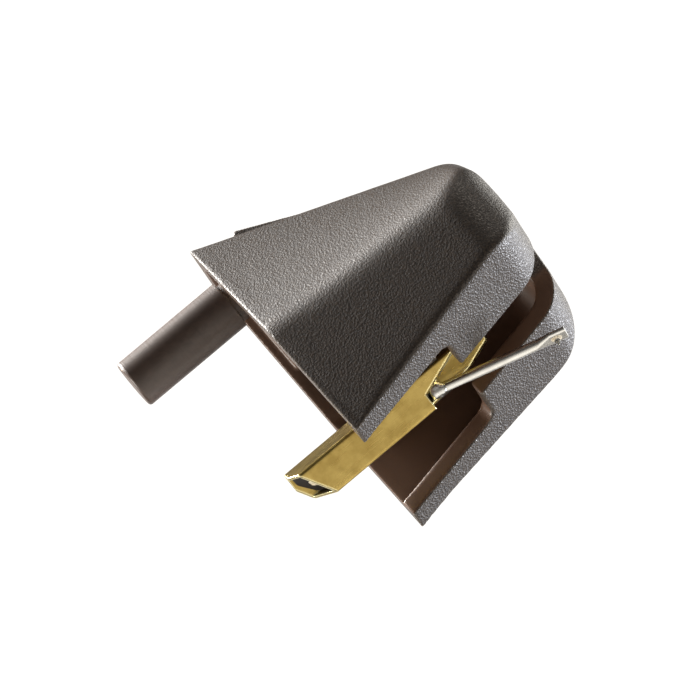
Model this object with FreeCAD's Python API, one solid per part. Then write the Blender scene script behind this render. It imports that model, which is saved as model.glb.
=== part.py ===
import FreeCAD, Part
import math
import os
from FreeCAD import Rotation, Vector

# A replacement stylus for a record player's pickup, in millimetres.
# X points forward along the square shank, Y to the left and Z up.
# The origin is on the shank's axis, in the plane of the hood's rear rim.

# Hood: a moulded shell, open at the rear and slotted underneath
HOOD_LENGTH = 10.4
HOOD_WALL = 0.8
REAR_TOP_HALF = 1.8
REAR_TOP_Z = 11.0
REAR_BEND_HALF = 4.68
REAR_BEND_Z = 3.9
REAR_BASE_Z = -2.2
NOSE_TOP_HALF = 2.4
NOSE_TOP_Z = 5.95
NOSE_BEND_HALF = 5.64
NOSE_BEND_Z = 3.2
NOSE_BASE_Z = 0.0
NOSE_CROWN = 0.5
CROWN_ROUND = 24.0
CORNER_ROUND = 2.2
CHIN_ROUND = 2.0
BROW_ROUND = 1.6
CHEEK_ROUND = 1.7
BEND_ROUND = 2.0
REAR_RIDGE_ROUND = 0.4
NOSE_RIDGE_ROUND = 3.0

# Slot in the hood's underside, wide at the rear and narrow at the nose
SLOT_WIDE_HALF = 3.43
SLOT_NARROW_HALF = 1.43
SLOT_STEP_X = 5.1
SLOT_CORNER = 0.5
SLOT_ARCH_Z = 0.9

# Low grip pad on the hood's sloping top, proud at its rear end and flush at its front
PAD_REAR_X = 1.75
PAD_FRONT_X = 6.3
PAD_HEIGHT = 0.3
PAD_HALF = 1.7

# Inner mouldings of the hood: a bulkhead for the rod, and a keel with a saddle for the shank
BULKHEAD_X = 0.4
BULKHEAD_THICK = 1.9
BULKHEAD_HEIGHT = 4.8
KEEL_HALF = 0.7
SADDLE_LENGTH = 4.2
SADDLE_HALF = 1.6
SADDLE_HEIGHT = 1.9

# Magnet rod: a round bar with a turned spigot that is glued into the bulkhead
# ROD_DROP is the axis below the hood's rear top, ROD_SHOULDER_GAP the shoulder behind the rear rim
ROD_RADIUS = 1.08
ROD_DROP = 2.15
ROD_REACH = 5.2
ROD_EDGE_ROUND = 0.15
ROD_SHOULDER_GAP = 0.1
SPIGOT_RADIUS = 0.9
SPIGOT_LENGTH = 1.4
GLUE_RING_WIDTH = 0.5
GLUE_RING_DEPTH = 0.4

# Shank: a drawn square brass tube, set on its edge
SHANK_SIDE = 1.6
SHANK_WALL = 0.15
SHANK_CORNER = 0.14
SHANK_REAR_X = -3.07
SHANK_SLANT_Z = 0.5
SHANK_REAR_BASE_X = -1.82
SHANK_FRONT_X = 6.7
SHANK_NOTCH_X = 3.3
SHANK_TRIM_DEG = 14.4

# Rubber plug that closes the rear of the shank, deeper at its foot and clear of the armature
PLUG_SETBACK = 0.15
PLUG_FOOT_SETBACK = 0.6
PLUG_CLEARANCE = 0.3

# Rubber damper, the pivot of the moving system
PIVOT_X = 1.9
DAMPER_LENGTH = 1.0
DAMPER_GAP = 0.04
DAMPER_BORE_GAP = 0.06

# Moving system: armature, cantilever, collar, stone and cement
ARMATURE_RADIUS = 0.34
ARMATURE_REAR_X = -0.6
ARMATURE_SOCKET = 0.9
ARMATURE_CHAMFER = 0.08
CANTILEVER_RADIUS = 0.22
CANTILEVER_SLOPE_DEG = 18.0
CANTILEVER_LENGTH = 7.15
ELBOW_RADIUS = 0.6
FISHTAIL_LENGTH = 0.7
FISHTAIL_WIDTH = 0.75
FISHTAIL_THICK = 0.22
FLARE_LENGTH = 0.6
NECK_STEP = 0.02
COLLAR_PLACE = 1.38
COLLAR_LENGTH = 0.56
COLLAR_RADIUS = 0.33
COLLAR_CHAMFER = 0.08
STONE_FROM_END = 0.45
STONE_RADIUS = 0.13
STONE_SHANK = 0.3
STONE_POINT = 0.28
STONE_TIP_RADIUS = 0.012
CEMENT_SPREAD = 0.11
CEMENT_HEIGHT = 0.1

# Cutting tools reach this far past what they cut
OVERCUT = 1.0
# The plan and side outlines stand this far off the walls and top, so that they trim only the nose
CORNER_RELIEF = 0.02

# Worked-out sizes
SHANK_HALF_DIAGONAL = SHANK_SIDE / math.sqrt(2)
BORE_SIDE = SHANK_SIDE - 2 * SHANK_WALL
ROD_Z = REAR_TOP_Z - ROD_DROP
ELBOW_X = PIVOT_X + DAMPER_LENGTH / 2
FORWARD = Vector(1, 0, 0)


def along_hood(rear, nose, x):
    """Value at x of a size that runs straight from the rear rim to the nose."""
    return rear + (nose - rear) * x / HOOD_LENGTH


def rounded_face(points, radii):
    """Flat face of a polygon whose corners have the given radii, 0 for a sharp one."""
    edges = []
    starts, ends = [], []
    count = len(points)
    for i, (corner, radius) in enumerate(zip(points, radii)):
        back = (points[i - 1] - corner).normalize()
        ahead = (points[(i + 1) % count] - corner).normalize()
        half_turn = (math.pi - back.getAngle(ahead)) / 2
        reach = radius * math.tan(half_turn)
        starts.append(corner + back * reach)
        ends.append(corner + ahead * reach)
        if radius > 0:
            bisector = (back + ahead).normalize()
            middle = corner + bisector * (radius / math.cos(half_turn) - radius)
            edges.append(Part.Arc(starts[i], middle, ends[i]).toShape())
    for i in range(count):
        edges.append(Part.makeLine(ends[i - 1], starts[i]))
    wire = Part.Wire(Part.__sortEdges__(edges))
    return Part.Face(wire)


def side_prism(points, radii, half_width):
    """Solid of a side-view outline in X and Z, as wide as given each way."""
    face = rounded_face([Vector(x, -half_width, z) for x, z in points], radii)
    return face.extrude(Vector(0, 2 * half_width, 0))


def box_between(low, high):
    """Box between two opposite corners."""
    size = high - low
    return Part.makeBox(size.x, size.y, size.z, low)


def hood_plan(inset, rear_x):
    """Upright prism of the hood's plan, with its crowned nose and rounded corners."""
    nose_x = HOOD_LENGTH - inset
    corner = max(CORNER_ROUND - inset, inset)
    rear_half = along_hood(REAR_BEND_HALF, NOSE_BEND_HALF, rear_x) - inset + CORNER_RELIEF
    nose_half = along_hood(REAR_BEND_HALF, NOSE_BEND_HALF, nose_x) - inset + CORNER_RELIEF
    base = min(REAR_BASE_Z, NOSE_BASE_Z) - OVERCUT
    height = max(REAR_TOP_Z, NOSE_TOP_Z) + OVERCUT - base
    outline = [(rear_x, -rear_half), (nose_x, -nose_half), (nose_x + NOSE_CROWN, 0),
               (nose_x, nose_half), (rear_x, rear_half)]
    face = rounded_face([Vector(x, y, base) for x, y in outline], [0, corner, CROWN_ROUND, corner, 0])
    return face.extrude(Vector(0, 0, height))


def hood_side(inset, rear_x):
    """Side-view prism of the hood: rising base, rounded chin, crowned nose, rounded brow, sloping top."""
    nose_x = HOOD_LENGTH - inset
    brow_x = nose_x + NOSE_CROWN
    lift = CORNER_RELIEF - inset
    points = [(rear_x, along_hood(REAR_BASE_Z, NOSE_BASE_Z, rear_x) + inset),
              (nose_x, along_hood(REAR_BASE_Z, NOSE_BASE_Z, nose_x) + inset),
              (brow_x, along_hood(REAR_TOP_Z, NOSE_TOP_Z, brow_x) + lift),
              (rear_x, along_hood(REAR_TOP_Z, NOSE_TOP_Z, rear_x) + lift)]
    radii = [0, max(CHIN_ROUND - inset, inset), max(BROW_ROUND - inset, inset), 0]
    return side_prism(points, radii, 2 * NOSE_BEND_HALF)


def hood_cheek(inset, rear_x, side):
    """Prism along the slope of one flank at the nose, which rounds the flank into the nose."""
    slope = Vector(0, side * (NOSE_TOP_HALF - NOSE_BEND_HALF), NOSE_TOP_Z - NOSE_BEND_Z).normalize()
    outward = FORWARD.cross(slope) * -side
    reach = 2 * (REAR_TOP_Z - REAR_BASE_Z)
    nose_x = HOOD_LENGTH + NOSE_CROWN / 2 - inset
    rear_top = Vector(0, side * REAR_TOP_HALF, REAR_TOP_Z).dot(outward)
    nose_top = Vector(0, side * NOSE_TOP_HALF, NOSE_TOP_Z).dot(outward)
    lift = CORNER_RELIEF - inset
    outline = [(rear_x, -reach), (nose_x, -reach),
               (nose_x, along_hood(rear_top, nose_top, nose_x) + lift),
               (rear_x, along_hood(rear_top, nose_top, rear_x) + lift)]
    corners = [FORWARD * x + outward * out - slope * reach for x, out in outline]
    return rounded_face(corners, [0, 0, max(CHEEK_ROUND - inset, inset), 0]).extrude(slope * 2 * reach)


def hood_section(x, inset):
    """Section at x of the hood: upright walls, a soft bend and flanks that lean in to round ridges."""
    top_half = along_hood(REAR_TOP_HALF, NOSE_TOP_HALF, x)
    top_z = along_hood(REAR_TOP_Z, NOSE_TOP_Z, x)
    bend_half = along_hood(REAR_BEND_HALF, NOSE_BEND_HALF, x)
    bend_z = along_hood(REAR_BEND_Z, NOSE_BEND_Z, x)
    lean = (bend_half - top_half) / (top_z - bend_z)
    shift = inset * math.hypot(1, lean)
    wall_half = bend_half - inset
    low_z = min(REAR_BASE_Z, NOSE_BASE_Z) - OVERCUT
    right = [(wall_half, low_z), (wall_half, bend_z - (shift - inset) / lean),
             (top_half + lean * inset - shift, top_z - inset)]
    left = [(-y, z) for y, z in reversed(right)]
    bend = max(BEND_ROUND - inset, inset)
    ridge = max(along_hood(REAR_RIDGE_ROUND, NOSE_RIDGE_ROUND, x) - inset, inset)
    corners = [Vector(x, y, z) for y, z in right + left]
    return rounded_face(corners, [0, bend, ridge, ridge, bend, 0]).OuterWire


def hood_form(inset, rear_x):
    """The hood's outside, or its cavity when inset by the wall."""
    sections = [hood_section(rear_x, inset), hood_section(HOOD_LENGTH + NOSE_CROWN, inset)]
    form = Part.makeLoft(sections, True, True)
    trims = [hood_plan(inset, rear_x), hood_side(inset, rear_x),
             hood_cheek(inset, rear_x, -1), hood_cheek(inset, rear_x, 1)]
    for trim in trims:
        form = form.common(trim)
    return form.Solids[0]


def slot_cutter():
    """The stepped slot, which arches up into the nose wall."""
    low_z = REAR_BASE_Z - OVERCUT
    wide_low = Vector(-OVERCUT, -SLOT_WIDE_HALF, low_z)
    wide = box_between(wide_low, Vector(SLOT_STEP_X, SLOT_WIDE_HALF, SLOT_ARCH_Z))
    upright = [e for e in wide.Edges if e.BoundBox.ZLength > SLOT_CORNER]
    wide = wide.makeFillet(SLOT_CORNER, [e for e in upright if e.CenterOfMass.x > SLOT_STEP_X / 2])
    start = Vector(SLOT_STEP_X - OVERCUT, -SLOT_NARROW_HALF, low_z)
    narrow = box_between(start, Vector(HOOD_LENGTH + OVERCUT, SLOT_NARROW_HALF, SLOT_ARCH_Z))
    arch_start = Vector(SLOT_STEP_X - OVERCUT, 0, SLOT_ARCH_Z)
    arch_length = HOOD_LENGTH + 2 * OVERCUT - SLOT_STEP_X
    arch = Part.makeCylinder(SLOT_NARROW_HALF, arch_length, arch_start, FORWARD)
    return wide.fuse([narrow, arch])


def grip_pad():
    """Wedge on the sloping top."""
    rear_z = along_hood(REAR_TOP_Z, NOSE_TOP_Z, PAD_REAR_X)
    front_z = along_hood(REAR_TOP_Z, NOSE_TOP_Z, PAD_FRONT_X)
    root = HOOD_WALL / 2
    points = [(PAD_REAR_X, rear_z - root), (PAD_FRONT_X, front_z - root),
              (PAD_FRONT_X, front_z), (PAD_REAR_X, rear_z + PAD_HEIGHT)]
    return side_prism(points, [0, 0, 0, PAD_HEIGHT / 2], PAD_HALF)


def hood_insides(outside):
    """Bulkhead, keel and saddle, trimmed to the hood's own outline."""
    far_half = 2 * NOSE_BEND_HALF
    bulkhead_low = Vector(BULKHEAD_X, -far_half, REAR_TOP_Z - BULKHEAD_HEIGHT)
    bulkhead_high = Vector(BULKHEAD_X + BULKHEAD_THICK, far_half, REAR_TOP_Z + OVERCUT)
    keel_high = Vector(BULKHEAD_X + SADDLE_LENGTH, KEEL_HALF, REAR_TOP_Z + OVERCUT)
    saddle_high = Vector(BULKHEAD_X + SADDLE_LENGTH, SADDLE_HALF, SADDLE_HEIGHT)
    blocks = [box_between(bulkhead_low, bulkhead_high),
              box_between(Vector(BULKHEAD_X, -KEEL_HALF, 0), keel_high),
              box_between(Vector(BULKHEAD_X, -SADDLE_HALF, 0), saddle_high)]
    return [block.common(outside) for block in blocks]


def glue_cone():
    """The countersink round the rod's spigot, which the glue fills."""
    mouth = Vector(BULKHEAD_X, 0, ROD_Z)
    rim = SPIGOT_RADIUS + GLUE_RING_WIDTH
    return Part.makeCone(rim, SPIGOT_RADIUS, GLUE_RING_DEPTH, mouth, FORWARD)


def spigot():
    """The rod's turned end, from its shoulder to the bottom of its bore in the bulkhead."""
    shoulder = Vector(-ROD_SHOULDER_GAP, 0, ROD_Z)
    length = ROD_SHOULDER_GAP + BULKHEAD_X + SPIGOT_LENGTH
    return Part.makeCylinder(SPIGOT_RADIUS, length, shoulder, FORWARD)


def square_bar(side, corner, start_x, end_x):
    """Square bar along X, set on its edge, with rounded long edges."""
    half = side / math.sqrt(2)
    corners = [Vector(start_x, y, z) for y, z in ((0, -half), (half, 0), (0, half), (-half, 0))]
    return rounded_face(corners, [corner] * 4).extrude(Vector(end_x - start_x, 0, 0))


def make_hood():
    outside = hood_form(0, 0)
    cavity = hood_form(HOOD_WALL, -OVERCUT)
    shell = outside.cut(cavity).cut(slot_cutter())
    hood = shell.fuse(hood_insides(outside) + [grip_pad()])
    shank_space = square_bar(SHANK_SIDE, SHANK_CORNER, -OVERCUT, HOOD_LENGTH - HOOD_WALL)
    return hood.cut(spigot().fuse(glue_cone())).cut(shank_space).removeSplitter()


def make_magnet_rod():
    start = Vector(-ROD_REACH, 0, ROD_Z)
    bar = Part.makeCylinder(ROD_RADIUS, ROD_REACH - ROD_SHOULDER_GAP, start, FORWARD)
    rear_rim = [e for e in bar.Edges if e.BoundBox.XMax < -ROD_REACH / 2]
    return bar.makeFillet(ROD_EDGE_ROUND, rear_rim).fuse(spigot()).removeSplitter()


def make_rod_adhesive():
    return glue_cone().cut(spigot())


def shank_slant_x(z):
    """Where the slanted part of the shank's rear cut lies at height z."""
    share = (SHANK_SLANT_Z - z) / (SHANK_SLANT_Z + SHANK_HALF_DIAGONAL)
    return SHANK_REAR_X + (SHANK_REAR_BASE_X - SHANK_REAR_X) * share


def make_shank_tube():
    start, end = SHANK_REAR_X - OVERCUT, SHANK_FRONT_X + OVERCUT
    inner_corner = max(SHANK_CORNER - SHANK_WALL, 0)
    tube = square_bar(SHANK_SIDE, SHANK_CORNER, start, end)
    tube = tube.cut(square_bar(BORE_SIDE, inner_corner, start - OVERCUT, end + OVERCUT))
    reach = 2 * SHANK_HALF_DIAGONAL
    notch_z = -SHANK_HALF_DIAGONAL / 2
    trim_z = notch_z + (SHANK_FRONT_X - SHANK_NOTCH_X) * math.tan(math.radians(SHANK_TRIM_DEG))
    outline = [(shank_slant_x(-reach), -reach), (SHANK_NOTCH_X, -reach), (SHANK_NOTCH_X, notch_z),
               (SHANK_FRONT_X, trim_z), (SHANK_FRONT_X, reach), (SHANK_REAR_X, reach),
               (SHANK_REAR_X, SHANK_SLANT_Z)]
    return tube.common(side_prism(outline, [0] * len(outline), reach))


def make_rear_plug():
    front_x = ARMATURE_REAR_X - PLUG_CLEARANCE
    face_x = SHANK_REAR_X + PLUG_SETBACK
    foot_x = SHANK_REAR_BASE_X + PLUG_FOOT_SETBACK
    reach = SHANK_HALF_DIAGONAL
    outline = [(face_x, reach), (face_x, SHANK_SLANT_Z), (foot_x, -reach), (front_x, -reach),
               (front_x, reach)]
    plug = square_bar(BORE_SIDE, 0, SHANK_REAR_X, SHANK_NOTCH_X)
    return plug.common(side_prism(outline, [0] * len(outline), reach))


def make_damper():
    start = PIVOT_X - DAMPER_LENGTH / 2
    block = square_bar(BORE_SIDE - 2 * DAMPER_GAP, SHANK_WALL, start, start + DAMPER_LENGTH)
    bore_radius = ARMATURE_RADIUS + DAMPER_BORE_GAP
    return block.cut(Part.makeCylinder(bore_radius, DAMPER_LENGTH, Vector(start, 0, 0), FORWARD))


def make_armature():
    front = ELBOW_X - ELBOW_RADIUS * math.tan(math.radians(CANTILEVER_SLOPE_DEG / 2))
    start = Vector(ARMATURE_REAR_X, 0, 0)
    rod = Part.makeCylinder(ARMATURE_RADIUS, front - ARMATURE_REAR_X, start, FORWARD)
    rims = [e for e in rod.Edges if e.BoundBox.XLength < ARMATURE_CHAMFER]
    rod = rod.makeChamfer(ARMATURE_CHAMFER, rims)
    socket = Vector(front - ARMATURE_SOCKET, 0, 0)
    return rod.cut(Part.makeCylinder(CANTILEVER_RADIUS, ARMATURE_SOCKET, socket, FORWARD))


def on_cantilever(shape):
    """Moves a shape made along X from the elbow to the cantilever's slope."""
    slope = Rotation(Vector(0, 1, 0), CANTILEVER_SLOPE_DEG)
    shape.Placement = FreeCAD.Placement(Vector(ELBOW_X, 0, 0), slope).multiply(shape.Placement)
    return shape


def slab_section(x, width, thick):
    """Oblong section with round ends, across X."""
    straight = (width - thick) / 2
    half = thick / 2
    corners = [Vector(x, -straight, -half), Vector(x, straight, -half), Vector(x, straight, half),
               Vector(x, -straight, half)]
    right = Part.Arc(corners[1], Vector(x, straight + half, 0), corners[2]).toShape()
    left = Part.Arc(corners[3], Vector(x, -straight - half, 0), corners[0]).toShape()
    under = Part.makeLine(corners[0], corners[1])
    over = Part.makeLine(corners[2], corners[3])
    return Part.Wire([under, right, over, left])


def make_cantilever():
    turn = math.radians(CANTILEVER_SLOPE_DEG)
    tangent = ELBOW_RADIUS * math.tan(turn / 2)
    bend_start = Vector(ELBOW_X - tangent, 0, 0)
    tail_start = bend_start - FORWARD * ARMATURE_SOCKET
    tail = Part.makeCylinder(CANTILEVER_RADIUS, ARMATURE_SOCKET, tail_start, FORWARD)
    disc = Part.Face(Part.Wire(Part.Circle(bend_start, FORWARD, CANTILEVER_RADIUS).toShape()))
    elbow = disc.revolve(bend_start - Vector(0, 0, ELBOW_RADIUS), Vector(0, 1, 0), CANTILEVER_SLOPE_DEG)
    flare_x = CANTILEVER_LENGTH - FISHTAIL_LENGTH - FLARE_LENGTH
    blade_x = CANTILEVER_LENGTH - FISHTAIL_LENGTH
    arm = Part.makeCylinder(CANTILEVER_RADIUS, flare_x - tangent, Vector(tangent, 0, 0), FORWARD)
    neck_width = 2 * CANTILEVER_RADIUS - NECK_STEP
    neck = slab_section(flare_x, neck_width, neck_width - NECK_STEP)
    blade = slab_section(blade_x, FISHTAIL_WIDTH, FISHTAIL_THICK)
    end = slab_section(CANTILEVER_LENGTH, FISHTAIL_WIDTH, FISHTAIL_THICK)
    pressed = Part.makeLoft([neck, blade, end], True, True)
    hole_start = Vector(CANTILEVER_LENGTH - STONE_FROM_END, 0, -FISHTAIL_THICK)
    hole = Part.makeCylinder(STONE_RADIUS, FISHTAIL_THICK * 2, hole_start, Vector(0, 0, 1))
    front = on_cantilever(arm.fuse(pressed).cut(hole))
    return tail.fuse([elbow, front]).removeSplitter()


def make_root_collar():
    start = Vector(COLLAR_PLACE - COLLAR_LENGTH / 2, 0, 0)
    collar = Part.makeCylinder(COLLAR_RADIUS, COLLAR_LENGTH, start, FORWARD)
    rims = [e for e in collar.Edges if e.BoundBox.XLength < COLLAR_CHAMFER]
    collar = collar.makeChamfer(COLLAR_CHAMFER, rims)
    return on_cantilever(collar.cut(Part.makeCylinder(CANTILEVER_RADIUS, COLLAR_LENGTH, start, FORWARD)))


def make_diamond_tip():
    place = CANTILEVER_LENGTH - STONE_FROM_END
    top = Vector(place, 0, FISHTAIL_THICK / 2)
    down = Vector(0, 0, -1)
    shank = Part.makeCylinder(STONE_RADIUS, STONE_SHANK, top, down)
    point = Part.makeCone(STONE_RADIUS, STONE_TIP_RADIUS, STONE_POINT, top + down * STONE_SHANK, down)
    return on_cantilever(shank.fuse(point).removeSplitter())


def make_tip_cement():
    place = CANTILEVER_LENGTH - STONE_FROM_END
    under = Vector(place, 0, -FISHTAIL_THICK / 2)
    down = Vector(0, 0, -1)
    height = min(CEMENT_HEIGHT, STONE_SHANK - FISHTAIL_THICK)
    drop = Part.makeCone(STONE_RADIUS + CEMENT_SPREAD, STONE_RADIUS, height, under, down)
    return on_cantilever(drop.cut(Part.makeCylinder(STONE_RADIUS, height, under, down)))


PIECES = {
    "hood": make_hood,
    "magnet_rod": make_magnet_rod,
    "rod_adhesive": make_rod_adhesive,
    "shank_tube": make_shank_tube,
    "rear_plug": make_rear_plug,
    "damper": make_damper,
    "armature": make_armature,
    "cantilever": make_cantilever,
    "root_collar": make_root_collar,
    "diamond_tip": make_diamond_tip,
    "tip_cement": make_tip_cement,
}


def main():
    os.makedirs("parts", exist_ok=True)
    for name, make in PIECES.items():
        shape = make()
        print(name, shape.isValid(), "solids", len(shape.Solids), "mm3", round(shape.Volume, 4))
        shape.exportStep(f"parts/{name}.step")


main()
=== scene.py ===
# %% [markdown]
# # Dressing a record player's stylus
# The solids come from the CAD model and are never moved or changed here. This script gives every piece
# its finish, lets rounded copies stand for two of the solids, adds drops that are too small and uneven
# for CAD, and sets up the studio.

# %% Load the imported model
import bmesh
import bpy
import math
from mathutils import Matrix, Vector, noise


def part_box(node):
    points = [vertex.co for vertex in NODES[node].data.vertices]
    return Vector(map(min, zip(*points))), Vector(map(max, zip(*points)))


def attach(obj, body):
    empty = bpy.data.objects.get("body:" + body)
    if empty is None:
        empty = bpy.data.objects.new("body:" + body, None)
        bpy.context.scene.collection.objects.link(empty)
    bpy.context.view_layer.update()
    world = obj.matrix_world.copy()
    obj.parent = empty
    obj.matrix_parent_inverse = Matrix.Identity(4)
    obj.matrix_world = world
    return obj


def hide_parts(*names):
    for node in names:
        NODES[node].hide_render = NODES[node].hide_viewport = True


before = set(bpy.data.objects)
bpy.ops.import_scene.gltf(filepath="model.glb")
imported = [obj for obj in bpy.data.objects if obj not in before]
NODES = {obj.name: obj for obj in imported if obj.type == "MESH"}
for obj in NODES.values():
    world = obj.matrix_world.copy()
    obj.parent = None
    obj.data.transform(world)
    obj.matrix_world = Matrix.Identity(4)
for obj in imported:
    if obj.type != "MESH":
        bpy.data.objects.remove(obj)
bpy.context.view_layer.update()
MM = 0.001

# %% [markdown]
# ## Small helpers for materials
# Colours are written as sRGB hex values, as a paint chart or a colour picker gives them, but a shader
# wants linear light, so one function converts them. Another adds a node, sets it up and links it, which
# keeps each material short enough to read as a recipe. A third starts a material, and the last turns
# the real size of a pattern into the scale that a texture node wants.

# %% Colour and node helpers
def linear(hex_colour):
    """Linear RGBA of an sRGB hex colour."""
    values = [int(hex_colour[i:i + 2], 16) / 255 for i in (1, 3, 5)]
    return [v / 12.92 if v <= 0.04045 else ((v + 0.055) / 1.055) ** 2.4 for v in values] + [1.0]


def add_node(tree, kind, inputs=None, **settings):
    """Adds a node; inputs are constants or the output sockets of other nodes, by name or number."""
    node = tree.nodes.new(kind)
    for name, value in settings.items():
        setattr(node, name, value)
    for name, value in (inputs or {}).items():
        if isinstance(value, bpy.types.NodeSocket):
            tree.links.new(value, node.inputs[name])
        else:
            node.inputs[name].default_value = value
    return node


def new_finish(name, **constants):
    """A material with its shader's constant values set; returns it with its node tree and shader."""
    material = bpy.data.materials.new(name)
    material.use_nodes = True
    shader = material.node_tree.nodes["Principled BSDF"]
    for socket, value in constants.items():
        shader.inputs[socket.replace("_", " ")].default_value = value
    return material, material.node_tree, shader


def per_mm(size_mm):
    """Texture scale whose features are this many millimetres wide."""
    return 1 / (size_mm * MM)


print("white is", linear("#ffffff")[:3])

# %% [markdown]
# ## Hood: moulded ABS with a spark-eroded grain
# The mould's outside was spark-eroded, so the shell is covered with tiny craters that turn its gloss into
# a sparkling grey sheen; paler specks in its colour are painted glints of that sparkle. The core side was
# left smooth, so the inside has no grain, and its lighter brown is painted light standing in for light
# that reaches into the hollow. One material can do both: a face is outside when its normal points away
# from the hood's middle line. Edges are a little paler, partly from the rubbing of fingers and sleeves
# and partly as a painted highlight along the rims; the Bevel node finds them, because near an edge its
# softened normal differs from the true one. Real craters are about 0.03 mm wide, which is less than a
# pixel of the picture, so they are drawn three times as wide. The underside sparkles more, so its craters
# are taken to be deeper.

# %% Hood finish
CRATER_MM = 0.09
CRATER_DEPTH_MM = 0.03
SPECK_MM = 0.075
PATCH_MM = 2.2
EDGE_WEAR_AND_HIGHLIGHT_MM = 0.16
UNDERSIDE_DEPTH = 2.6
MIDDLE_HEIGHT = 4.0 * MM

hood_abs, tree, shader = new_finish("spark-grained ABS", IOR=1.53, Specular_IOR_Level=0.5)
place = add_node(tree, "ShaderNodeTexCoord").outputs["Object"]
face = add_node(tree, "ShaderNodeNewGeometry")
across = add_node(tree, "ShaderNodeVectorMath", {0: place, 1: (0, 1, 1)}, operation="MULTIPLY")
from_middle = add_node(tree, "ShaderNodeVectorMath", {0: across.outputs[0], 1: (0, 0, MIDDLE_HEIGHT)},
                       operation="SUBTRACT")
facing = add_node(tree, "ShaderNodeVectorMath", {0: from_middle.outputs[0], 1: face.outputs["Normal"]},
                  operation="DOT_PRODUCT")
outside = add_node(tree, "ShaderNodeMapRange", {"Value": facing.outputs["Value"], "From Min": -0.4 * MM,
                                                "From Max": 0.1 * MM})
crater = add_node(tree, "ShaderNodeTexVoronoi", {"Vector": place, "Scale": per_mm(CRATER_MM)})
speck = add_node(tree, "ShaderNodeTexNoise", {"Vector": place, "Scale": per_mm(SPECK_MM), "Detail": 1.0})
relief = add_node(tree, "ShaderNodeMath", {0: speck.outputs["Fac"], 1: 0.5, 2: crater.outputs["Distance"]},
                  operation="MULTIPLY_ADD")
upward = add_node(tree, "ShaderNodeSeparateXYZ", {0: face.outputs["Normal"]})
depth = add_node(tree, "ShaderNodeMapRange", {"Value": upward.outputs["Z"], "From Min": -0.3,
                                              "From Max": -0.8, "To Min": 1.0,
                                              "To Max": UNDERSIDE_DEPTH})
deepened = add_node(tree, "ShaderNodeMath", {0: relief.outputs[0], 1: depth.outputs["Result"]},
                    operation="MULTIPLY")
grained = add_node(tree, "ShaderNodeMath", {0: deepened.outputs[0], 1: outside.outputs["Result"]},
                   operation="MULTIPLY")
soft_edge = add_node(tree, "ShaderNodeBevel", {"Radius": EDGE_WEAR_AND_HIGHLIGHT_MM * MM}, samples=6)
bump = add_node(tree, "ShaderNodeBump", {"Height": grained.outputs[0], "Distance": CRATER_DEPTH_MM * MM,
                                         "Strength": 0.4})
sameness = add_node(tree, "ShaderNodeVectorMath", {0: soft_edge.outputs[0], 1: face.outputs["Normal"]},
                    operation="DOT_PRODUCT")
# Paler edges: partly rubbed wear, partly a painted highlight along the rims.
wear_and_highlight = add_node(tree, "ShaderNodeMapRange", {"Value": sameness.outputs["Value"], "From Min": 0.99,
                                             "From Max": 0.86})

# %% Hood colours
patch = add_node(tree, "ShaderNodeTexNoise", {"Vector": place, "Scale": per_mm(PATCH_MM), "Detail": 3.0})
tone = add_node(tree, "ShaderNodeMix", {0: patch.outputs["Fac"], 6: linear("#160e09"), 7: linear("#22160e")},
                data_type="RGBA")
# Paler specks in the colour: painted glints of the grain's sparkle.
glint_speck = add_node(tree, "ShaderNodeMapRange", {"Value": speck.outputs["Fac"], "From Min": 0.4,
                                                     "From Max": 0.72})
glint_speckled = add_node(tree, "ShaderNodeMix", {0: glint_speck.outputs["Result"], 6: tone.outputs[2],
                                            7: linear("#41372e")}, data_type="RGBA")
rubbed_and_highlit = add_node(tree, "ShaderNodeMix", {0: wear_and_highlight.outputs["Result"], 6: glint_speckled.outputs[2],
                                          7: linear("#857a6e")}, data_type="RGBA")
# The inside's lighter brown is painted light, standing in for light that reaches into the hollow.
colour = add_node(tree, "ShaderNodeMix", {0: outside.outputs["Result"], 6: linear("#573f30"),
                                          7: rubbed_and_highlit.outputs[2]}, data_type="RGBA")
sheen = add_node(tree, "ShaderNodeMapRange", {"Value": speck.outputs["Fac"], "From Min": 0.38,
                                              "From Max": 0.64, "To Min": 0.62, "To Max": 0.4})
gloss = add_node(tree, "ShaderNodeMix", {0: outside.outputs["Result"], 2: 0.45, 3: sheen.outputs["Result"]})
tree.links.new(colour.outputs[2], shader.inputs["Base Color"])
tree.links.new(gloss.outputs[0], shader.inputs["Roughness"])
tree.links.new(bump.outputs[0], shader.inputs["Normal"])
print("hood:", hood_abs.name, "craters", CRATER_MM, "mm")

# %% [markdown]
# ## Magnet rod: ground ferrite
# Ferrite is a dark ceramic. Grinding between wheels leaves faint rings round the rod, and the brittle rim
# of its free end chips. The chips are drawn in a paler brown that is also a painted highlight along that
# rim. The rings are bands along X; the chips are a noise that is let through only at the rim of that end.

# %% Magnet rod finish
RING_MM = 0.1
RING_DEPTH_MM = 0.008
CHIP_MM = 0.3
ROD_LOW, ROD_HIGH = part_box("magnet_rod")
ROD_AXIS_Z = (ROD_LOW.z + ROD_HIGH.z) / 2
ROD_RADIUS = (ROD_HIGH.z - ROD_LOW.z) / 2

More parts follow.
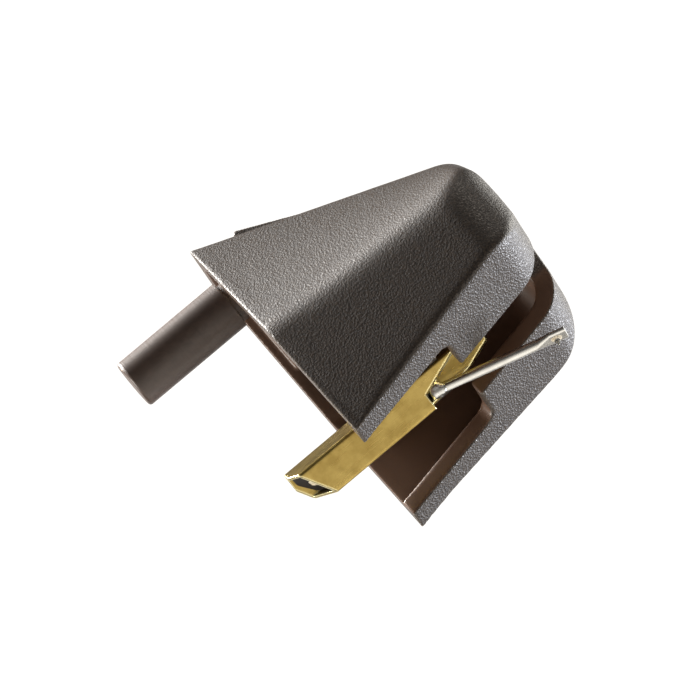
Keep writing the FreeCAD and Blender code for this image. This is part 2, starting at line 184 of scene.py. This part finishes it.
rod_ferrite, tree, shader = new_finish("ground ferrite", IOR=1.6)
place = add_node(tree, "ShaderNodeTexCoord").outputs["Object"]
along = add_node(tree, "ShaderNodeSeparateXYZ", {0: place})
rings = add_node(tree, "ShaderNodeTexNoise", {"W": 0.0, "Scale": per_mm(RING_MM), "Detail": 2.0},
                 noise_dimensions="1D")
tree.links.new(along.outputs["X"], rings.inputs["W"])
mottle = add_node(tree, "ShaderNodeTexNoise", {"Vector": place, "Scale": per_mm(CHIP_MM), "Detail": 4.0})
near_end = add_node(tree, "ShaderNodeMapRange", {"Value": along.outputs["X"],
                                                 "From Min": ROD_LOW.x + 0.16 * MM,
                                                 "From Max": ROD_LOW.x + 0.01 * MM, "To Max": 0.75})
across = add_node(tree, "ShaderNodeVectorMath", {0: place, 1: (0, 1, 1)}, operation="MULTIPLY")
reach = add_node(tree, "ShaderNodeVectorMath", {0: across.outputs[0], 1: (0, 0, ROD_AXIS_Z)},
                 operation="DISTANCE")
near_rim = add_node(tree, "ShaderNodeMapRange", {"Value": reach.outputs["Value"],
                                                 "From Min": ROD_RADIUS - 0.24 * MM,
                                                 "From Max": ROD_RADIUS - 0.04 * MM})
at_rim = add_node(tree, "ShaderNodeMath", {0: near_end.outputs[0], 1: near_rim.outputs[0]},
                  operation="MULTIPLY")
# Pale rim of the free end: partly chips, partly a painted highlight along the edge.
chip_and_highlight = add_node(tree, "ShaderNodeMath", {0: at_rim.outputs[0], 1: mottle.outputs["Fac"]},
                operation="MULTIPLY")
chipped_and_highlit = add_node(tree, "ShaderNodeMapRange", {"Value": chip_and_highlight.outputs[0], "From Min": 0.3, "From Max": 0.42})
tone = add_node(tree, "ShaderNodeMix", {0: mottle.outputs["Fac"], 6: linear("#382a23"), 7: linear("#4e3e35")},
                data_type="RGBA")
colour = add_node(tree, "ShaderNodeMix", {0: chipped_and_highlit.outputs[0], 6: tone.outputs[2], 7: linear("#b3a492")},
                  data_type="RGBA")
gloss = add_node(tree, "ShaderNodeMapRange", {"Value": rings.outputs["Fac"], "To Min": 0.38, "To Max": 0.52})
soft_edge = add_node(tree, "ShaderNodeBevel", {"Radius": 0.06 * MM}, samples=4)
bump = add_node(tree, "ShaderNodeBump", {"Height": rings.outputs["Fac"], "Distance": RING_DEPTH_MM * MM,
                                         "Strength": 0.5, "Normal": soft_edge.outputs[0]})
tree.links.new(colour.outputs[2], shader.inputs["Base Color"])
tree.links.new(gloss.outputs[0], shader.inputs["Roughness"])
tree.links.new(bump.outputs[0], shader.inputs["Normal"])
print("rod:", rod_ferrite.name, "rings", RING_MM, "mm")

# %% [markdown]
# ## Shank: drawn brass tube
# Brass drawn through a die has fine scratches along its length and slightly rounded edges, drawn paler:
# partly polish, partly a painted highlight.
# Stretching one noise along X makes the scratches; a broad second noise is the first dull tarnish.

# %% Brass finish
SCRATCH_MM = 0.035
SCRATCH_LENGTH_MM = 1.6
TARNISH_MM = 0.7
BRIGHT_EDGE_MM = 0.13

shank_brass, tree, shader = new_finish("drawn brass", Metallic=1.0)
place = add_node(tree, "ShaderNodeTexCoord").outputs["Object"]
stretch = add_node(tree, "ShaderNodeMapping", {"Vector": place,
                                               "Scale": (SCRATCH_MM / SCRATCH_LENGTH_MM, 1, 1)})
scratch = add_node(tree, "ShaderNodeTexNoise", {"Vector": stretch.outputs[0], "Scale": per_mm(SCRATCH_MM),
                                                "Detail": 2.0})
tarnish = add_node(tree, "ShaderNodeTexNoise", {"Vector": place, "Scale": per_mm(TARNISH_MM), "Detail": 5.0,
                                                "Roughness": 0.6})
tone = add_node(tree, "ShaderNodeValToRGB", {"Fac": tarnish.outputs["Fac"]})
tone.color_ramp.elements[0].color = linear("#9a8348")
tone.color_ramp.elements[1].color = linear("#b09959")
tone.color_ramp.elements[0].position = 0.35
tone.color_ramp.elements[1].position = 0.62
gloss = add_node(tree, "ShaderNodeMapRange", {"Value": scratch.outputs["Fac"], "To Min": 0.2, "To Max": 0.42})
soft_edge = add_node(tree, "ShaderNodeBevel", {"Radius": BRIGHT_EDGE_MM * MM}, samples=8)
bump = add_node(tree, "ShaderNodeBump", {"Height": scratch.outputs["Fac"], "Distance": 0.004 * MM,
                                         "Strength": 0.6, "Normal": soft_edge.outputs[0]})
face = add_node(tree, "ShaderNodeNewGeometry")
sameness = add_node(tree, "ShaderNodeVectorMath", {0: soft_edge.outputs[0], 1: face.outputs["Normal"]},
                    operation="DOT_PRODUCT")
# Paler edges: partly polished cut edges, partly a painted highlight where the edges catch the light.
polished_and_highlit = add_node(tree, "ShaderNodeMapRange", {"Value": sameness.outputs["Value"], "From Min": 0.985,
                                             "From Max": 0.93})
colour = add_node(tree, "ShaderNodeMix", {0: polished_and_highlit.outputs["Result"], 6: tone.outputs["Color"],
                                          7: linear("#fdf3bc")}, data_type="RGBA")
tree.links.new(colour.outputs[2], shader.inputs["Base Color"])
tree.links.new(gloss.outputs[0], shader.inputs["Roughness"])
tree.links.new(bump.outputs[0], shader.inputs["Normal"])
print("shank:", shank_brass.name, "scratches", SCRATCH_MM, "mm wide")

# %% [markdown]
# ## Cantilever and collar: drawn aluminium
# The arm is a bright aluminium tube. It slopes down from its pivot, so its drawing marks follow that
# slope: the pattern is turned by the same angle before it is stretched. The collar is the same metal,
# turned, with one small dark round spot on its side.

# %% Aluminium finish
SLOPE = math.radians(18.0)
DRAW_MM = 0.03
DRAW_LENGTH_MM = 1.2
DARK_SPOT_MM = 0.11
COLLAR_LOW, COLLAR_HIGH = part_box("root_collar")
COLLAR_MIDDLE = (COLLAR_LOW + COLLAR_HIGH) / 2
DARK_SPOT_AT = COLLAR_MIDDLE + Vector((0.05, -0.26, -0.2)) * MM

arm_aluminium, tree, shader = new_finish("drawn aluminium", Metallic=1.0)
place = add_node(tree, "ShaderNodeTexCoord").outputs["Object"]
turned = add_node(tree, "ShaderNodeMapping", {"Vector": place, "Rotation": (0, -SLOPE, 0)})
stretch = add_node(tree, "ShaderNodeMapping", {"Vector": turned.outputs[0],
                                               "Scale": (DRAW_MM / DRAW_LENGTH_MM, 1, 1)})
marks = add_node(tree, "ShaderNodeTexNoise", {"Vector": stretch.outputs[0], "Scale": per_mm(DRAW_MM),
                                              "Detail": 2.0})
dull = add_node(tree, "ShaderNodeTexNoise", {"Vector": place, "Scale": per_mm(0.4), "Detail": 3.0})
tone = add_node(tree, "ShaderNodeMix", {0: dull.outputs["Fac"], 6: linear("#c4c3bf"), 7: linear("#eeeeea")},
                data_type="RGBA")
# A small dark round spot on the collar's side.
to_dark_spot = add_node(tree, "ShaderNodeVectorMath", {0: place, 1: DARK_SPOT_AT}, operation="DISTANCE")
dark_spot = add_node(tree, "ShaderNodeMapRange", {"Value": to_dark_spot.outputs["Value"], "From Min": DARK_SPOT_MM * MM,
                                              "From Max": DARK_SPOT_MM * MM * 0.7})
colour = add_node(tree, "ShaderNodeMix", {0: dark_spot.outputs[0], 6: tone.outputs[2], 7: linear("#3b3531")},
                  data_type="RGBA")
gloss = add_node(tree, "ShaderNodeMapRange", {"Value": marks.outputs["Fac"], "To Min": 0.14, "To Max": 0.34})
bump = add_node(tree, "ShaderNodeBump", {"Height": marks.outputs["Fac"], "Distance": 0.004 * MM,
                                         "Strength": 0.5})
tree.links.new(colour.outputs[2], shader.inputs["Base Color"])
tree.links.new(gloss.outputs[0], shader.inputs["Roughness"])
tree.links.new(bump.outputs[0], shader.inputs["Normal"])
print("cantilever:", arm_aluminium.name, "slope", round(math.degrees(SLOPE), 1))

# %% [markdown]
# ## Rubber, soft iron, resin and diamond
# The damper and the plug are black butyl rubber with a dusty bloom. The armature is annealed iron, a dull
# grey metal. The glue and the tip's cement are cured resin, pale and glossy, a little cloudy inside. The
# stone is a ground diamond: clear, with a high IOR that makes it flash.

# %% Rubber finish
BLOOM_MM = 0.25
BLOOM_DEPTH_MM = 0.02

damper_rubber, tree, shader = new_finish("butyl rubber", IOR=1.52, Specular_IOR_Level=0.35)
place = add_node(tree, "ShaderNodeTexCoord").outputs["Object"]
bloom = add_node(tree, "ShaderNodeTexNoise", {"Vector": place, "Scale": per_mm(BLOOM_MM), "Detail": 4.0})
tone = add_node(tree, "ShaderNodeMix", {0: bloom.outputs["Fac"], 6: linear("#0d0908"), 7: linear("#1e1613")},
                data_type="RGBA")
gloss = add_node(tree, "ShaderNodeMapRange", {"Value": bloom.outputs["Fac"], "To Min": 0.5, "To Max": 0.72})
bump = add_node(tree, "ShaderNodeBump", {"Height": bloom.outputs["Fac"], "Distance": BLOOM_DEPTH_MM * MM,
                                         "Strength": 0.4})
tree.links.new(tone.outputs[2], shader.inputs["Base Color"])
tree.links.new(gloss.outputs[0], shader.inputs["Roughness"])
tree.links.new(bump.outputs[0], shader.inputs["Normal"])
print("rubber:", damper_rubber.name)

# %% Soft iron finish
armature_iron, tree, shader = new_finish("annealed soft iron", Metallic=1.0)
place = add_node(tree, "ShaderNodeTexCoord").outputs["Object"]
scale_spots = add_node(tree, "ShaderNodeTexNoise", {"Vector": place, "Scale": per_mm(0.15), "Detail": 4.0})
tone = add_node(tree, "ShaderNodeMix", {0: scale_spots.outputs["Fac"], 6: linear("#6f6a66"),
                                        7: linear("#a09c97")}, data_type="RGBA")
gloss = add_node(tree, "ShaderNodeMapRange", {"Value": scale_spots.outputs["Fac"], "To Min": 0.3,
                                              "To Max": 0.55})
tree.links.new(tone.outputs[2], shader.inputs["Base Color"])
tree.links.new(gloss.outputs[0], shader.inputs["Roughness"])
print("armature:", armature_iron.name)

# %% Resin finish
cured_resin, tree, shader = new_finish("cured epoxy resin", IOR=1.55, Subsurface_Weight=0.25)
shader.inputs["Subsurface Radius"].default_value = (0.3 * MM, 0.25 * MM, 0.18 * MM)
place = add_node(tree, "ShaderNodeTexCoord").outputs["Object"]
cloud = add_node(tree, "ShaderNodeTexNoise", {"Vector": place, "Scale": per_mm(0.2), "Detail": 3.0})
tone = add_node(tree, "ShaderNodeMix", {0: cloud.outputs["Fac"], 6: linear("#a8987a"), 7: linear("#e4dcc8")},
                data_type="RGBA")
gloss = add_node(tree, "ShaderNodeMapRange", {"Value": cloud.outputs["Fac"], "To Min": 0.15, "To Max": 0.35})
tree.links.new(tone.outputs[2], shader.inputs["Base Color"])
tree.links.new(gloss.outputs[0], shader.inputs["Roughness"])
print("glue:", cured_resin.name)

# %% Diamond finish
tip_diamond, tree, shader = new_finish("ground diamond", IOR=2.42, Transmission_Weight=0.85)
place = add_node(tree, "ShaderNodeTexCoord").outputs["Object"]
grind = add_node(tree, "ShaderNodeTexNoise", {"Vector": place, "Scale": per_mm(0.05), "Detail": 2.0})
tone = add_node(tree, "ShaderNodeMix", {0: grind.outputs["Fac"], 6: linear("#d9d6c8"), 7: linear("#f8f7f0")},
                data_type="RGBA")
gloss = add_node(tree, "ShaderNodeMapRange", {"Value": grind.outputs["Fac"], "To Min": 0.02, "To Max": 0.12})
tree.links.new(tone.outputs[2], shader.inputs["Base Color"])
tree.links.new(gloss.outputs[0], shader.inputs["Roughness"])
print("tip:", tip_diamond.name)

# %% [markdown]
# ## Give each CAD piece its finish
# A table is easier to check against the record than a row of calls. Only the material slots are filled;
# the meshes of the solids stay as they are.

# %% Finish of each piece
FINISHES = {
    "hood": hood_abs, "magnet_rod": rod_ferrite, "rod_adhesive": cured_resin, "shank_tube": shank_brass,
    "rear_plug": damper_rubber, "damper": damper_rubber, "armature": armature_iron,
    "cantilever": arm_aluminium, "root_collar": arm_aluminium, "diamond_tip": tip_diamond,
    "tip_cement": cured_resin,
}
for node, finish in FINISHES.items():
    slots = NODES[node].data.materials
    slots.clear()
    slots.append(finish)
print("dressed", len(FINISHES), "of", len(NODES), "nodes")

# %% [markdown]
# ## Hood shell with moulded edges
# The CAD hood has sharp creases where its trimmed faces meet, but a moulding has none: its mould is
# polished round there, most of all along the foot of the walls, along the bend between wall and flank
# and over the nose. The rim at the rear and the pad's edges stay crisp. So a copy of the hood is turned
# into an even grid of small faces, smoothed a little all over and much more where the moulding is round,
# and thinned out again. The copy is worked on in millimetres, because Blender sets no finer grid than
# 0.0001 of its units.

# %% Helpers for rounded copies
def settle(piece):
    """Gives a piece the mesh that its modifiers make, and clears them."""
    shape = bpy.data.meshes.new_from_object(piece.evaluated_get(bpy.context.evaluated_depsgraph_get()))
    piece.modifiers.clear()
    piece.data = shape


def gridded_copy(node, name, grid_mm):
    """A copy of a CAD piece as an even grid of faces, in millimetres."""
    mesh = NODES[node].data.copy()
    mesh.transform(Matrix.Scale(1 / MM, 4))
    piece = bpy.data.objects.new(name, mesh)
    bpy.context.scene.collection.objects.link(piece)
    grid = piece.modifiers.new("grid", "REMESH")
    grid.mode = "VOXEL"
    grid.voxel_size = grid_mm
    settle(piece)
    return piece


def shade_group(piece, name, weight_at, shades=5):
    """A vertex group with a weight, in a few shades, for each place."""
    group = piece.vertex_groups.new(name=name)
    values = [round(weight_at(v.co) * shades) for v in piece.data.vertices]
    for shade in range(1, shades + 1):
        group.add([i for i, value in enumerate(values) if value == shade], shade / shades, "REPLACE")


def smooth_by(piece, passes, group=""):
    """Adds a smoothing step, led by a vertex group when one is named."""
    smooth = piece.modifiers.new("smooth", "SMOOTH")
    smooth.iterations = passes
    smooth.vertex_group = group


def stand_for(piece, node, kept_share, finish):
    """Thins a smoothed copy, brings it back to metres and lets it stand for its CAD piece on the body."""
    thin = piece.modifiers.new("thin", "DECIMATE")
    thin.ratio = kept_share
    settle(piece)
    piece.data.transform(Matrix.Scale(MM, 4))
    piece.data.shade_smooth()
    piece.data.materials.clear()
    piece.data.materials.append(finish)
    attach(piece, "body")
    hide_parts(node)
    print(piece.name, "has", len(piece.data.polygons), "faces")


# %% Rounded hood shell
GRID_MM = 0.06
HOOD_KEPT = 0.08
CRISP_PASSES = 12
ROUND_PASSES = 90
BEND_PASSES = 300
SLOT_MARGIN_MM = 0.3
WIDE_SLOT_HALF_MM, NARROW_SLOT_HALF_MM, SLOT_TOP_MM = 3.43, 1.43, 2.33
NOSE_FROM_MM = 7.0
FOOT_REAR_MM, FOOT_HEIGHT_MM = (0.4, 2.0), (3.5, 2.5)
BEND_REAR_MM, BEND_NOSE_MM = 3.9, 3.25
BEND_CORE_MM, BEND_REACH_MM, BEND_SIDE_MM = 0.4, 1.5, (2.6, 3.6)
PAD_FROM_MM, PAD_TO_MM, PAD_HALF_MM, PAD_ABOVE_MM = 1.5, 5.0, 2.0, 7.0
RIM_MM, CRISP_SHARE = (0.2, 0.8), 0.2


def ramp(value, start, end):
    """0 up to start, 1 from end on, and straight between them."""
    return min(max((value - start) / (end - start), 0), 1)


def evenness(place):
    """How much the grid's steps are evened out: less at the rear rim and on the pad."""
    x, y, z = place
    on_pad = PAD_FROM_MM < x < PAD_TO_MM and abs(y) < PAD_HALF_MM and z > PAD_ABOVE_MM
    return CRISP_SHARE if on_pad else CRISP_SHARE + (1 - CRISP_SHARE) * ramp(x, *RIM_MM)


def roundness(place):
    """How round the moulding is at a place given in millimetres, from 0 at the rim and slot to 1."""
    x, y, z = place
    side = abs(y)
    wide_edge, narrow_edge = WIDE_SLOT_HALF_MM + SLOT_MARGIN_MM, NARROW_SLOT_HALF_MM + SLOT_MARGIN_MM
    slot_top = SLOT_TOP_MM + SLOT_MARGIN_MM
    off_slot = ramp(side, wide_edge, wide_edge + 2 * SLOT_MARGIN_MM)
    foot = ramp(x, *FOOT_REAR_MM) * ramp(z, *FOOT_HEIGHT_MM) * off_slot
    clear = max(ramp(side, narrow_edge, narrow_edge + 2 * SLOT_MARGIN_MM),
                ramp(z, slot_top, slot_top + 2 * SLOT_MARGIN_MM))
    return max(foot, ramp(x, NOSE_FROM_MM, NOSE_FROM_MM + 1) * clear)


def bend_share(place):
    """1 along the bend between wall and flank, and less away from it."""
    x, y, z = place
    bend_z = BEND_REAR_MM + (BEND_NOSE_MM - BEND_REAR_MM) * x / NOSE_FROM_MM
    near_bend = ramp(abs(z - bend_z), BEND_REACH_MM, BEND_CORE_MM)
    return ramp(x, *FOOT_REAR_MM) * ramp(abs(y), *BEND_SIDE_MM) * near_bend


hood_shell = gridded_copy("hood", "hood_shell", GRID_MM)
shade_group(hood_shell, "evened", evenness)
shade_group(hood_shell, "rounded", roundness)
shade_group(hood_shell, "bend", bend_share)
smooth_by(hood_shell, CRISP_PASSES, "evened")
smooth_by(hood_shell, ROUND_PASSES, "rounded")
smooth_by(hood_shell, BEND_PASSES, "bend")
stand_for(hood_shell, "hood", HOOD_KEPT, hood_abs)

# %% [markdown]
# ## Rubber plug
# The plug was pressed into the tube, so its rubber bulges a little and its edges are round. The same
# grid and smoothing turn the CAD block into such a plug.

# %% Bulging rubber plug
PLUG_GRID_MM, PLUG_PASSES, PLUG_KEPT = 0.04, 25, 0.4

plug_rubber = gridded_copy("rear_plug", "plug_rubber", PLUG_GRID_MM)
smooth_by(plug_rubber, PLUG_PASSES)
stand_for(plug_rubber, "rear_plug", PLUG_KEPT, damper_rubber)

# %% [markdown]
# ## Drops of glue
# Where the rod was glued in, small drops of resin squeezed out round its foot, and one more seals the
# plug in the tube's rear. A drop that has set on a surface is a flattened dome with an uneven rim. An
# icosphere squashed along the surface's normal and pushed about by noise gives that, and sinking its
# lower half into the surface makes it look stuck on.

# %% Glue drops
UNEVENNESS, LUMPS_ACROSS, SEED_STEP = 0.28, 1.3, 7.1


def glue_drop(name, at, normal, across, height, seed):
    """A set drop of resin, centred on a surface point; it rides on the body unless told otherwise."""
    mesh = bpy.data.meshes.new(name)
    blob = bmesh.new()
    bmesh.ops.create_icosphere(blob, subdivisions=3, radius=1.0)
    for vertex in blob.verts:
        shift = Vector((seed * SEED_STEP, 0, 0))
        vertex.co *= 1 + UNEVENNESS * noise.noise(vertex.co * LUMPS_ACROSS + shift)
    upright = normal.to_track_quat("Z", "Y").to_matrix().to_4x4()
    size = Matrix.Diagonal((across / 2, across / 2, height, 1))
    blob.transform(Matrix.Translation(at) @ upright @ size)
    for part in blob.faces:
        part.smooth = True
    blob.to_mesh(mesh)
    blob.free()
    drop = bpy.data.objects.new(name, mesh)
    bpy.context.scene.collection.objects.link(drop)
    mesh.materials.append(cured_resin)
    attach(drop, "body")
    return drop


RING_LOW, RING_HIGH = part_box("rod_adhesive")
RING_CENTRE = (RING_LOW + RING_HIGH) / 2
RING_RADIUS = (RING_HIGH.z - RING_LOW.z) / 2
RING_SHARE = 0.86
REARWARD = Vector((-1, 0, 0))
# angle round the rod in degrees, then width and height in millimetres
DROPS = [(205, 0.55, 0.16), (238, 0.38, 0.12), (268, 0.62, 0.2), (318, 0.4, 0.12), (95, 0.5, 0.14)]
for number, (angle, across, height) in enumerate(DROPS):
    turn = math.radians(angle)
    reach = RING_RADIUS * RING_SHARE
    at = Vector((RING_LOW.x, math.cos(turn) * reach, RING_CENTRE.z + math.sin(turn) * reach))
    glue_drop(f"glue_drop_{number}", at, REARWARD, across * MM, height * MM, number)

slanted = [p for p in NODES["rear_plug"].data.polygons if p.normal.x < -0.5 and p.normal.z < -0.5]
slant_middle = sum((p.center * p.area for p in slanted), Vector()) / sum(p.area for p in slanted)
glue_drop("plug_seal", slant_middle, slanted[0].normal, 0.45 * MM, 0.07 * MM, 9)
print("glue drops:", len(DROPS) + 1, "plug face at", [round(v / MM, 2) for v in slant_middle])

# %% [markdown]
# ## Crimped bead
# Where the arm leaves the collar, the tube was crimped and a bead of metal squeezed out on its side. It
# is lumpy, so it is made as the glue drops are, but from the arm's metal, and it moves with the arm.

# %% Bead of the cantilever
BEAD_AT = COLLAR_MIDDLE + Vector((0.03, -0.12, -0.03)) * MM
BEAD_FACES = Vector((0.1, -0.6, -0.8)).normalized()
BEAD_ACROSS, BEAD_HEIGHT = 0.76 * MM, 0.42 * MM

bead = glue_drop("crimp_bead", BEAD_AT, BEAD_FACES, BEAD_ACROSS, BEAD_HEIGHT, 4)
bead.data.materials.clear()
bead.data.materials.append(arm_aluminium)
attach(bead, "moving_system")
print("bead at", [round(v / MM, 2) for v in BEAD_AT])

# %% [markdown]
# ## Camera
# The photograph looks up at the stylus from its right side, so that the slot underneath shows, and the
# picture is turned so that the nose points to the upper right. A long lens far away keeps lines that are
# parallel on the part nearly parallel in the picture, as in the photograph. The camera's axes are worked
# out from three angles: how far it looks up, how far it is swung to the rear and how far it is rolled.

# %% Camera at the photograph's angle
LOOK_UP = math.radians(30.6)
SWING = math.radians(3.5)
ROLL = math.radians(40.0)
PIXELS_PER_MM = 25.0
PICTURE = 700
ORIGIN_AT = (358.0, 444.0)
DISTANCE = 400 * MM
SENSOR_WIDTH = 36

level = Vector((math.cos(SWING), -math.sin(SWING) * math.cos(LOOK_UP),
                -math.sin(SWING) * math.sin(LOOK_UP)))
sink = Vector((0, math.sin(LOOK_UP), -math.cos(LOOK_UP)))
right = level * math.cos(ROLL) + sink * math.sin(ROLL)
down = sink * math.cos(ROLL) - level * math.sin(ROLL)
towards = right.cross(-down)
off_right, off_down = [(PICTURE / 2 - p) / PIXELS_PER_MM * MM for p in ORIGIN_AT]
target = right * off_right + down * off_down
camera_data = bpy.data.cameras.new("photo_camera")
camera = bpy.data.objects.new("photo_camera", camera_data)
bpy.context.scene.collection.objects.link(camera)
axes = Matrix((right, -down, towards)).transposed().to_4x4()
camera.matrix_world = Matrix.Translation(target + towards * DISTANCE) @ axes
camera_data.sensor_width = SENSOR_WIDTH
camera_data.lens = SENSOR_WIDTH * DISTANCE / (PICTURE / PIXELS_PER_MM * MM)
camera_data.clip_start = 10 * MM
bpy.context.scene.camera = camera
print("camera at mm", [round(v / MM) for v in camera.location], "lens", round(camera_data.lens))

# %% [markdown]
# ## Floor and light
# The camera stands lower than the stylus, so the pale floor lies lower still. The sky is white only in a
# broad patch behind the stylus, which makes the picture's background, and dim elsewhere, which leaves
# the near wall dark. Five soft lights then shape the part: one overhead makes the sheen on the flanks,
# one from behind and below lights the underside, one behind the rear rim draws its bright line, and two
# in front light the nose and the end of its side. They are hidden from the camera.

# %% Pale floor
FLOOR_Z = -260 * MM
FLOOR_HALF = 3.0
FIBRE_MM = 60

floor_card, tree, shader = new_finish("matt white card", Roughness=0.8)
place = add_node(tree, "ShaderNodeTexCoord").outputs["Object"]
fibre = add_node(tree, "ShaderNodeTexNoise", {"Vector": place, "Scale": per_mm(FIBRE_MM), "Detail": 3.0})
tone = add_node(tree, "ShaderNodeMix", {0: fibre.outputs["Fac"], 6: linear("#c6c3be"), 7: linear("#cecbc6")},
                data_type="RGBA")
tree.links.new(tone.outputs[2], shader.inputs["Base Color"])
floor_mesh = bpy.data.meshes.new("floor")
corners = [(x * FLOOR_HALF, y * FLOOR_HALF, FLOOR_Z) for x, y in ((-1, -1), (1, -1), (1, 1), (-1, 1))]
floor_mesh.from_pydata(corners, [], [(0, 1, 2, 3)])
floor_mesh.materials.append(floor_card)
floor = bpy.data.objects.new("floor", floor_mesh)
bpy.context.scene.collection.objects.link(floor)
print("floor at", FLOOR_Z / MM, "mm")

# %% Sky
BRIGHT_SIDE = (0.0, 0.99, 0.14)
DIM, BRIGHT = 0.1, 1.12

sky = bpy.data.worlds.new("studio_sky")
sky.use_nodes = True
bpy.context.scene.world = sky
tree = sky.node_tree
direction = add_node(tree, "ShaderNodeTexCoord").outputs["Generated"]
bright = add_node(tree, "ShaderNodeVectorMath", {0: direction, 1: BRIGHT_SIDE}, operation="DOT_PRODUCT")
level_of = add_node(tree, "ShaderNodeMapRange", {"Value": bright.outputs["Value"], "From Min": 0.74,
                                                 "From Max": 0.9, "To Min": DIM, "To Max": BRIGHT},
                    interpolation_type="SMOOTHSTEP")
tree.links.new(level_of.outputs["Result"], tree.nodes["Background"].inputs["Strength"])
tree.nodes["Background"].inputs["Color"].default_value = linear("#fffdfa")
bpy.context.scene.view_settings.view_transform = "Standard"
print("sky:", sky.name)

# %% Soft lights
def soft_light(name, place, size, watts, tint):
    """A square soft box that faces the stylus."""
    data = bpy.data.lights.new(name, "AREA")
    data.size = size
    data.energy = watts
    data.color = linear(tint)[:3]
    light = bpy.data.objects.new(name, data)
    light.location = place
    light.rotation_euler = (-Vector(place)).to_track_quat("-Z", "Y").to_euler()
    light.visible_camera = False
    bpy.context.scene.collection.objects.link(light)


# name, place and size in metres, watts, tint
SOFT_LIGHTS = [
    ("overhead_box", (-0.115, 0.01, 0.29), 0.14, 4.4, "#fffcf8"),
    ("under_card", (0.2, 0.2, -0.1), 0.06, 1.2, "#f2f6ff"),
    ("rim_strip", (-0.3, 0.0, 0.03), 0.06, 1.0, "#fffaf2"),
    ("nose_card", (0.3, 0.18, 0.06), 0.2, 1.2, "#fffdf6"),
    ("brow_card", (0.22, -0.1, 0.2), 0.06, 0.16, "#fff6ea"),
]
for settings in SOFT_LIGHTS:
    soft_light(*settings)
